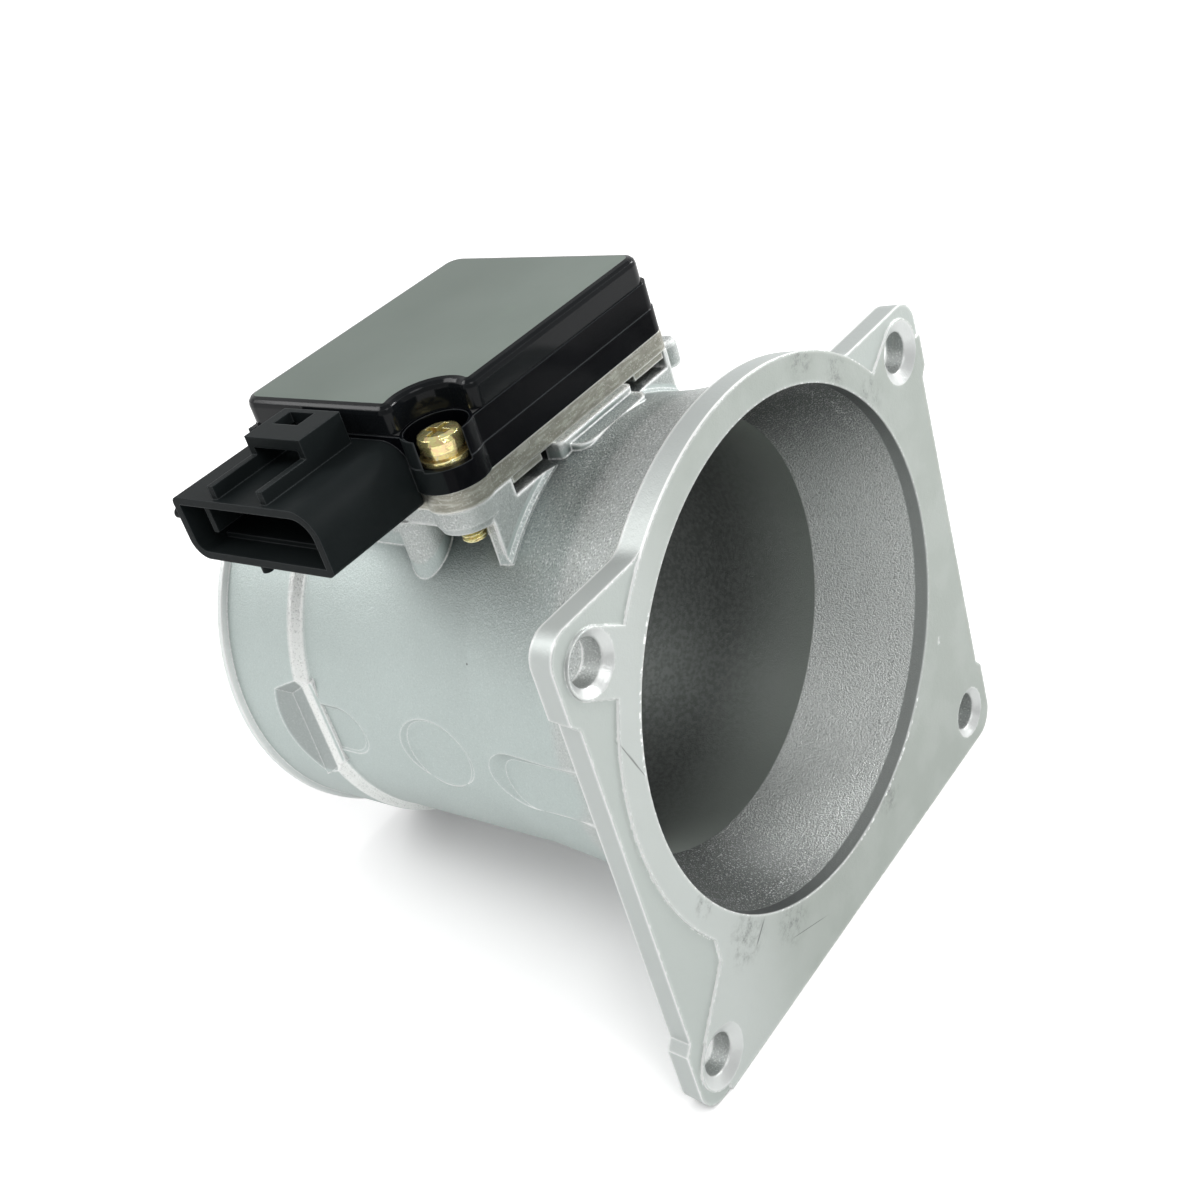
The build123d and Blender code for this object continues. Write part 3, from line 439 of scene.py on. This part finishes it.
def face_zones(s, at):
    x, y, z, radius = at["x"], at["y"], at["z"], at["radius"]
    side = s.inverse(at["front"])
    from_hole = s.length(from_nearest(s, x, HOLES_MID[0], HOLES_HALF[0]),
                         from_nearest(s, z, HOLES_MID[1], HOLES_HALF[1]))
    sink = s.product(s.ramp(from_hole, SINK_R + 0.2, SINK_R), s.ramp(y, SINK_DEPTH + 0.1, SINK_DEPTH))
    step = s.product(side, s.ramp(y, FACE_DROP + 0.1, FACE_DROP), s.ramp(radius, LIP_R + 0.5, LIP_R + 1.0))
    burr_low = s.product(s.ramp(x, 0.0, 6.0), s.ramp(z, -24.0, -30.0))
    burr_left = s.product(s.ramp(x, -26.0, -32.0), s.band(z, 8.0, 30.0, 2.0))
    return {
        "face": s.product(at["front"], s.ramp(y, 1.0, 0.7)),
        "machined": s.product(at["front"], s.ramp(y, 0.3, 0.15)),
        "sink": s.product(sink, side),
        "hole": s.product(s.ramp(from_hole, HOLE_R + 0.2, HOLE_R + 0.1),
                          s.ramp(y, SINK_DEPTH, SINK_DEPTH + 0.1)),
        "step_wall": s.product(step, s.ramp(from_hole, SINK_R, SINK_R + 0.2)),
        "bore_edge": s.product(side, s.ramp(y, 0.3, 0.2), s.ramp(radius, LIP_R + 0.5, LIP_R + 0.2)),
        "burr": s.product(s.band(radius, LIP_R, LIP_R + 0.5, 0.1), s.ramp(y, 0.3, 0.2),
                          s.most(burr_low, burr_left)),
    }


def outer_zones(s, at):
    y, z, radius, outward = at["y"], at["z"], at["radius"], at["outward"]
    outer = s.ramp(outward, 0.2, 0.5)
    tube = s.product(s.ramp(outward, 0.3, 0.7), s.ramp(y, 5.5, 7.0))
    near_flange = s.ramp(y, 50.0, 12.0)
    high = s.ramp(s.plus(z, s.product(near_flange, 8.0)), 16.0, 46.0)
    return {
        "tube": tube,
        # rough: coarser skin high on the tube near the flange; the same mask carries painted shade there
        "rough": s.product(tube, high, s.blend(near_flange, 0.45, 1.0)),
        "under": s.product(s.ramp(at["up"], -0.15, -0.85), tube),
        "collar": s.product(s.band(y, COLLAR_Y - 1.8, COLLAR_Y + 0.4, 0.35), outer),
        "fitting": s.product(s.ramp(radius, BODY_R + 1.6, BODY_R + 2.2),
                             s.ramp(y, FLANGE_T, FLANGE_T + 1.0), s.ramp(y, COLLAR_Y, COLLAR_Y - 2.0)),
        "rim": s.product(s.inverse(at["front"]), s.ramp(y, FLANGE_T + 1.5, FLANGE_T + 0.5),
                         s.ramp(radius, LIP_R + 2.0, LIP_R + 3.0)),
        "bead": s.product(s.ramp(y, BEAD_Y - 0.2, BEAD_Y + 0.2), s.ramp(radius, COLLAR_R - 0.2, COLLAR_R)),
        "cut": s.product(s.band(y, COLLAR_Y + 0.2, BEAD_Y - 0.4, 0.2), outer,
                         s.ramp(radius, COLLAR_R - 0.08, COLLAR_R - 0.25)),
    }


def metal_grain(s, place, zone):
    """The casting's skin: how coarse it is, with its grit, glints and pits."""
    fine = s.noise(place, 0.30, detail=2.0, roughness=0.6)
    coarse = s.weighed(
        (zone["rough"], 0.9), (zone["cone"], 0.55), (zone["collar"], 0.4),
        (zone["fitting"], 0.35), (zone["hole"], 0.45), (zone["tube"], 0.15))
    return {
        "coarse": coarse,
        "grain": s.noise(place, 0.9, detail=3.0),
        "cloud": s.noise(place, 12.0, detail=4.0),
        "grit": s.ramp(fine, 0.38, 0.64),
        "glint": s.product(s.ramp(fine, 0.575, 0.635), coarse),
        "pit": s.product(s.ramp(fine, 0.45, 0.34), coarse),
    }


def metal_wear_and_highlights(s, place, zone, soft):
    """Worn edges and burrs of bare bright metal, and painted highlights on outer edges, ribs, the face's
    step walls and the bore's edge.
    """
    off_bore = s.inverse(zone["bore"])
    chipped = s.ramp(s.noise(place, 0.5, detail=3.0), 0.30, 0.55)
    flake = s.ramp(s.noise(place, 0.9, detail=3.0, roughness=0.6), 0.52, 0.58)
    edge = s.product(s.edges(soft, 0.045), off_bore, s.blend(chipped, 0.45, 1.0))
    rib = s.product(s.edges(s.rounded(1.0), 0.06), zone["fitting"], s.blend(chipped, 0.7, 1.0))
    edge_wear_and_highlight = s.most(s.product(s.edge_wear_and_highlight(0.7), off_bore), edge)
    edge_wear_and_highlight = s.product(edge_wear_and_highlight, s.blend(zone["face"], 1.0, 0.25), s.blend(zone["sink"], 1.0, 0.2))
    # painted highlights on step walls, the bore's edge, ribs and outer edges, over real wear and burrs
    bright = s.most(
        s.product(edge_wear_and_highlight, 0.9), s.product(zone["step_wall"], 0.9), s.product(zone["bore_edge"], 0.3),
        s.product(rib, 0.95), s.product(edge, zone["face"], flake, 0.9), s.product(zone["burr"], flake))
    return {"edge_wear_and_highlight": edge_wear_and_highlight, "bright": bright}


def dark_specks(s, place):
    total = 0.0
    for centre, reach in SPECKS:
        away = s.add("ShaderNodeVectorMath", operation="DISTANCE")
        s.feed(away.inputs[0], place)
        away.inputs[1].default_value = centre
        total = s.most(total, s.ramp(away.outputs["Value"], reach, reach * 0.5))
    return total


def handling_marks(s, place, x, z):
    """Grey rubbed smudges and fine scratches on the flange's face, from 0 to 1."""
    smear = s.ramp(s.noise(place, 2.2, detail=8.0, roughness=0.8), 0.44, 0.70)
    total = 0.0
    for centre, reach in SMUDGES:
        away = s.length(s.minus(x, centre[0]), s.minus(z, centre[1]))
        total = s.most(total, s.product(s.ramp(away, reach, reach * 0.2), smear))
    for start, end, width in SCRATCHES:
        total = s.most(total, s.stroke(x, z, start, end, width))
    return total


def ground_ring(s, place, zone):
    """The machined ring of the face, with painted light that makes it lighter to the left, and soft
    clouds.
    """
    cloud = s.ramp(s.noise(place, 9.0, detail=5.0), 0.40, 0.62)
    return s.mix(s.product(cloud, 0.25), s.mix(s.ramp(zone["x"], -12.0, -40.0), *RING_SHADE_AND_LIGHT), RING_CLOUD)


def throat_tone(s, zone, skin):
    """The bore past the cone, with painted shade that darkens it with depth."""
    speckle = s.ramp(skin["grain"], 0.35, 0.65, high=0.15)
    return s.mix(speckle, s.mix(zone["throat_mouth"], *THROAT_SHADE), THROAT_GRAIN)


def metal_colour(s, place, zone, skin, wear_and_highlights):
    marks = s.product(handling_marks(s, place, zone["x"], zone["z"]), zone["face"])
    off_collar = s.inverse(zone["collar"])
    off_bead = s.inverse(s.ramp(zone["y"], BEAD_Y - 3.0, BEAD_Y - 1.0, high=0.7))
    deep = s.product(s.crevice(2.4), s.inverse(zone["face"]), s.inverse(zone["step_wall"]),
                     off_collar, off_bead)
    broad = s.product(s.crevice(16.0), zone["tube"], off_collar, s.inverse(zone["fitting"]))
    return s.layers(
        s.mix(skin["cloud"], *SILVER),
        # painted shade over the rougher skin high on the tube, next to the module
        (s.product(zone["rough"], 0.42), ROUGH_SKIN_AND_SHADE),
        (s.product(s.most(zone["fitting"], zone["rim"]), 0.8), FITTING),
        # painted shade on the underside of the tube, where it faces down
        (s.product(zone["under"], 0.4), UNDERSIDE_SHADE),
        (s.product(zone["cut"], 0.7), CUT_STEP),
        (zone["bead"], BEAD),
        (s.product(zone["face"], 0.8), FACE),
        (zone["machined"], ground_ring(s, place, zone)),
        (s.product(marks, 0.85), MARK),
        (zone["bore"], throat_tone(s, zone, skin)),
        # painted light and shade on the cone and lip, lighter on the lit side of the bore
        (zone["cone"], s.mix(zone["bore_lit"], *CONE_SHADE_AND_LIGHT)),
        (zone["lip"], s.mix(zone["bore_lit"], *LIP_SHADE_AND_LIGHT)),
        # painted shade on the walls of the bolt holes
        (zone["hole"], HOLE_SHADE),
        (zone["sink"], SINK),
        (zone["collar"], COLLAR),
        (s.product(skin["glint"], 0.65), GLINT),
        (s.product(skin["pit"], 0.5), PIT),
        (s.product(dark_specks(s, place), 0.8), SPECK),
        (s.product(broad, 0.62), BROAD_SHADE),
        (s.product(deep, 0.75), DEEP_SHADE),
        # painted highlights and worn bare metal on the edges
        (wear_and_highlights["bright"], BARE_METAL_AND_HIGHLIGHT),
    )


def cast_aluminium():
    s = material_shader("cast_aluminium")
    place = s.place()
    soft = s.rounded(0.5)
    zone = metal_zones(s, place)
    skin = metal_grain(s, place, zone)
    wear_and_highlights = metal_wear_and_highlights(s, place, zone, soft)
    white = s.most(s.product(skin["glint"], 0.6), s.product(wear_and_highlights["bright"], 0.85))
    white = s.product(white, s.inverse(zone["collar"]))
    rough = s.plus(s.blend(skin["coarse"], 0.50, 0.36), s.product(skin["cloud"], 0.08))
    polish = s.product(s.most(wear_and_highlights["edge_wear_and_highlight"], zone["sink"]), 0.14)
    grit = s.product(skin["grit"], s.blend(skin["coarse"], 0.15, 1.0))
    s.set(Base_Color=metal_colour(s, place, zone, skin, wear_and_highlights))
    s.set(Metallic=s.blend(white, 0.85, 0.15), Roughness=s.minus(rough, polish))
    s.set(Normal=s.bump(s.plus(grit, s.product(skin["grain"], 0.6)), 0.07, soft))
    return s.owner


# The other materials
def plate_metal():
    s = material_shader("plate_metal")
    place = s.place()
    streak = s.noise(place, 0.5, detail=3.0, stretch=(5, 5, 1))
    cloud = s.noise(place, 4.0, detail=5.0)
    fine = s.noise(place, 0.3, detail=2.0)
    light_streak, dark_streak = PLATE_STREAKS
    body = s.layers(
        s.mix(cloud, *PLATE),
        (s.product(s.ramp(streak, 0.50, 0.66), 0.3), light_streak),
        (s.product(s.ramp(streak, 0.46, 0.34), 0.3), dark_streak),
        (s.product(s.ramp(fine, 0.60, 0.68), 0.4), PLATE_GLINT),
        (s.product(s.crevice(2.0), 0.5), PLATE_SHADE),
        # painted highlight along the plate's outer edges
        (s.product(s.edge_wear_and_highlight(0.5), 0.9), PLATE_EDGE_HIGHLIGHT),
    )
    s.set(Base_Color=body, Metallic=0.85, Roughness=s.blend(cloud, 0.36, 0.50))
    s.set(Normal=s.bump(s.plus(fine, s.product(streak, 0.8)), 0.035, s.rounded(0.35)))
    return s.owner


def black_plastic():
    """The glossy case and, past CONNECTOR_X, its matt connector shell."""
    s = material_shader("black_plastic")
    place = s.place()
    fine = s.noise(place, 0.25, detail=3.0)
    cloud = s.noise(place, 9.0, detail=3.0)
    shell = s.ramp(s.split(place)[0], CONNECTOR_X + 0.2, CONNECTOR_X - 0.2)
    soft = s.rounded(0.35)
    body = s.mix(shell, s.mix(cloud, *CASE), s.mix(cloud, *SHELL))
    # painted highlights: thin light lines on the case's sharp edges
    body = s.mix(s.product(s.edges(soft), 0.45), body, CASE_EDGE_HIGHLIGHT)
    rough = s.plus(s.blend(shell, 0.12, 0.44), s.product(cloud, 0.06))
    s.set(Base_Color=body, Roughness=rough, Specular_IOR_Level=0.06)
    s.set(Normal=s.bump(s.product(fine, s.blend(shell, 0.12, 1.0)), 0.02, soft))
    return s.owner


def cover_plastic():
    """The lid: a satin top, and glossy sides and rim."""
    s = material_shader("cover_plastic")
    place = s.place()
    top = s.ramp(s.facing()[2], 0.980, 0.9985)
    far = s.ramp(s.split(place)[1], 34.0, 62.0, high=0.3)
    fine = s.noise(place, 0.3, detail=3.0)
    cloud = s.noise(place, 16.0, detail=4.0)
    stain = s.ramp(s.noise(place, 7.0, detail=4.0, roughness=0.6), 0.60, 0.74)
    soft = s.rounded(0.3)
    # painted highlights: thin light lines on the lid's sharp edges
    edge = s.product(s.edges(soft, 0.2), s.blend(s.ramp(cloud, 0.35, 0.6), 0.3, 0.7))
    field = s.layers(s.mix(cloud, *COVER_TOP), (s.product(stain, 0.25), COVER_STAIN), (far, COVER_FAR))
    body = s.layers(s.mix(cloud, *COVER_SIDE), (top, field), (edge, COVER_EDGE_HIGHLIGHT))
    s.set(Base_Color=body, Specular_IOR_Level=0.16)
    s.set(Roughness=s.plus(s.blend(top, 0.07, 0.44), s.product(cloud, 0.05)))
    s.set(Normal=s.bump(s.product(fine, s.blend(top, 0.08, 0.7)), 0.015, soft))
    return s.owner


def yellow_zinc(name, tone):
    """Yellow zinc plating, drawn towards one tone."""
    s = material_shader(name)
    place = s.place()
    tint = s.noise(place, 1.1, detail=3.0, roughness=0.6)
    fine = s.noise(place, 0.2, detail=2.0)
    dent = s.noise(place, 0.6, detail=3.0)
    body = s.layers(
        s.mix(s.ramp(tint, 0.50, 0.66), ZINC_GOLD, ZINC_ROSE),
        (s.ramp(tint, 0.46, 0.34), ZINC_GREEN),
        # painted shade in the seams between head and washers
        (s.product(s.crevice(1.0), 0.85), ZINC_SEAM_SHADE),
        # painted highlights on the outer edges
        (s.product(s.edge_wear_and_highlight(0.25), 0.6), ZINC_EDGE_HIGHLIGHT),
        (0.35, tone),
    )
    s.set(Base_Color=body, Metallic=0.85, Roughness=s.blend(fine, 0.12, 0.22))
    s.set(Normal=s.bump(dent, 0.06, s.rounded(0.15)))
    return s.owner


def grained(name, low, high, roughness, metallic):
    """A two-tone moulded or drawn surface with fine grain."""
    s = material_shader(name)
    place = s.place()
    fine = s.noise(place, 0.25, detail=3.0)
    cloud = s.noise(place, 4.0, detail=3.0)
    s.set(Base_Color=s.mix(cloud, low, high), Metallic=metallic)
    s.set(Roughness=s.blend(fine, roughness, roughness + 0.1))
    s.set(Normal=s.bump(fine, 0.01))
    return s.owner


def dress(names, material):
    for name in names:
        mesh = nodes[name].data
        mesh.materials.clear()
        mesh.materials.append(material)


def dress_all():
    dress(["housing"], cast_aluminium())
    dress(["base_plate"], plate_metal())
    dress(["module_case"], black_plastic())
    dress(["module_cover"], cover_plastic())
    dress(["lock_washer_near", "lock_washer_far"], yellow_zinc("lock_washer_zinc", LOCK_WASHER_TONE))
    dress(["flat_washer_near", "flat_washer_far"], yellow_zinc("flat_washer_zinc", FLAT_WASHER_TONE))
    screw_zinc = yellow_zinc("screw_zinc", SCREW_TONE)
    for name in ("screw_near", "screw_far"):
        dress([name], screw_zinc)
        threaded_screw(name, screw_zinc)
    for names, *finish in SMALL_PARTS:
        dress(names, grained(*finish))


# Screws with a cut thread in place of the plain shank
def thread_radius(angle, height):
    """Shank radius in millimetres, for a height above the tip."""
    turn = (height / THREAD_PITCH - angle / math.tau) % 1.0
    ridge = 1.0 - abs(2.0 * turn - 1.0)
    cut = SHANK_R - THREAD_DEPTH * (1.0 - min(1.0, THREAD_CREST * ridge))
    ease = min(1.0, (height + TIP_START) / (TIP_EASE + TIP_START))
    return min(cut, SHANK_R * ease)


def head_only(work, top):
    """Cuts away all of the screw that is below top."""
    parts = work.verts[:] + work.edges[:] + work.faces[:]
    bmesh.ops.bisect_plane(work, geom=parts, plane_co=(0, 0, top), plane_no=(0, 0, 1), clear_inner=True)


def thread_ring(work, tip, height):
    ring = []
    for step in range(THREAD_STEPS):
        angle = math.tau * step / THREAD_STEPS
        radius = thread_radius(angle, height)
        offset = Vector((radius * math.cos(angle), radius * math.sin(angle), height))
        ring.append(work.verts.new(tip + offset * MM))
    return ring


def add_thread(work, tip):
    rows = int(SCREW_LEN / THREAD_PITCH * THREAD_ROWS)
    rings = [thread_ring(work, tip, SCREW_LEN * row / rows) for row in range(rows + 1)]
    work.faces.new(list(reversed(rings[0])))
    for lower, upper in zip(rings, rings[1:]):
        for step in range(THREAD_STEPS):
            after = (step + 1) % THREAD_STEPS
            work.faces.new((lower[step], lower[after], upper[after], upper[step]))


def threaded_screw(name, material):
    """The CAD screw's own head on a threaded shank, in place of the node."""
    low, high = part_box(name)
    tip = Vector(((low.x + high.x) / 2, (low.y + high.y) / 2, low.z))
    mesh = bpy.data.meshes.new(name + "_threaded")
    work = bmesh.new()
    work.from_mesh(nodes[name].data)
    head_only(work, tip.z + (SCREW_LEN - HEAD_OVERLAP) * MM)
    add_thread(work, tip)
    work.to_mesh(mesh)
    work.free()
    mesh.materials.clear()
    mesh.materials.append(material)
    piece = bpy.data.objects.new(name + "_threaded", mesh)
    bpy.context.scene.collection.objects.link(piece)
    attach(piece, "root")
    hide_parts(name)


# Stage
def floor_paper():
    """Pale paper with a painted glow that the camera and reflections see, whiter further off, and dimmed
    near the part as a painted shadow.
    """
    s = material_shader("floor_paper")
    place = s.place()
    s.set(Base_Color=s.mix(s.noise(place, 60.0), *FLOOR_TONES), Roughness=0.9)
    path = s.add("ShaderNodeLightPath")
    seen = s.most(path.outputs["Is Camera Ray"], s.product(path.outputs["Is Glossy Ray"], FLOOR_GLOSSY))
    # painted shadow: the glow fades where the part hides the floor
    open_sky = s.add("ShaderNodeAmbientOcclusion", samples=8)
    open_sky.inputs["Distance"].default_value = FLOOR_SHADE_REACH * MM
    unshaded = s.ramp(open_sky.outputs["AO"], 0.0, 1.0, low=FLOOR_SHADE)
    away = s.length(*s.split(place)[:2])
    lift = s.add("ShaderNodeEmission")
    whiter = s.ramp(away, FLOOR_NEAR, FLOOR_FAR, FLOOR_LIFT, 1.0)
    s.feed(lift.inputs["Strength"], s.product(seen, unshaded, whiter))
    total = s.add("ShaderNodeAddShader")
    s.feed(total.inputs[0], s.tree.nodes["Principled BSDF"].outputs[0])
    s.feed(total.inputs[1], lift.outputs[0])
    s.feed(s.tree.nodes["Material Output"].inputs["Surface"], total.outputs[0])
    return s.owner


def floor_plane():
    slope = (REST_BACK.z - REST_FRONT.z) / (REST_BACK.y - REST_FRONT.y)
    bpy.ops.mesh.primitive_plane_add(size=2 * FLOOR_HALF * MM)
    floor = bpy.context.object
    floor.name = "floor"
    floor.rotation_euler = (math.atan(slope), 0, 0)
    floor.location = REST_FRONT - Vector((0, 0, REST_GAP)) * MM
    floor.data.materials.append(floor_paper())


def world():
    """White for the camera, and for the rest a bright backdrop in a dimmer room."""
    s = Shader(bpy.data.worlds.new("studio"))
    bpy.context.scene.world = s.owner
    back = s.tree.nodes["Background"]
    x, y, z = s.split(s.add("ShaderNodeTexCoord").outputs["Generated"])
    beyond = s.ramp(s.plus(s.product(x, BACKDROP_WAY), s.product(y, BACKDROP_WAY)), -0.5, 0.4)
    low = s.ramp(z, 0.75, 0.35)
    room = s.blend(s.product(beyond, low), ROOM_DIM, ROOM_BRIGHT)
    seen = s.add("ShaderNodeLightPath").outputs["Is Camera Ray"]
    s.feed(back.inputs["Color"], (1.0, 1.0, 1.0, 1.0))
    s.feed(back.inputs["Strength"], s.blend(seen, room, 1.0))


def camera_axes():
    turn = Matrix.Rotation(math.radians(CAMERA_AZIMUTH), 4, "Z")
    lift = Matrix.Rotation(math.radians(90 - CAMERA_ELEVATION), 4, "X")
    roll = Matrix.Rotation(math.radians(CAMERA_ROLL), 4, "Z")
    return turn @ lift @ roll


def camera():
    data = bpy.data.cameras.new("camera")
    data.lens = CAMERA_LENS
    data.sensor_width = CAMERA_SENSOR
    data.clip_start = 0.01
    data.clip_end = 30.0
    view = bpy.data.objects.new("camera", data)
    view.matrix_world = Matrix.Translation(CAMERA_AT) @ camera_axes()
    bpy.context.scene.collection.objects.link(view)
    bpy.context.scene.camera = view


def lamp(name, side, up, back, size, power):
    """A square soft lamp, placed in metres along the camera's own axes."""
    data = bpy.data.lights.new(name, "AREA")
    data.size = size
    data.energy = power
    light = bpy.data.objects.new(name, data)
    place = LAMP_AIM + camera_axes().to_3x3() @ Vector((side, up, back))
    turn = (place - LAMP_AIM).to_track_quat("Z", "Y").to_matrix().to_4x4()
    light.matrix_world = Matrix.Translation(place) @ turn
    bpy.context.scene.collection.objects.link(light)


dress_all()
floor_plane()
world()
for settings in LAMPS:
    lamp(*settings)
camera()
bpy.context.scene.view_settings.view_transform = "Standard"

bpy.context.view_layer.update()
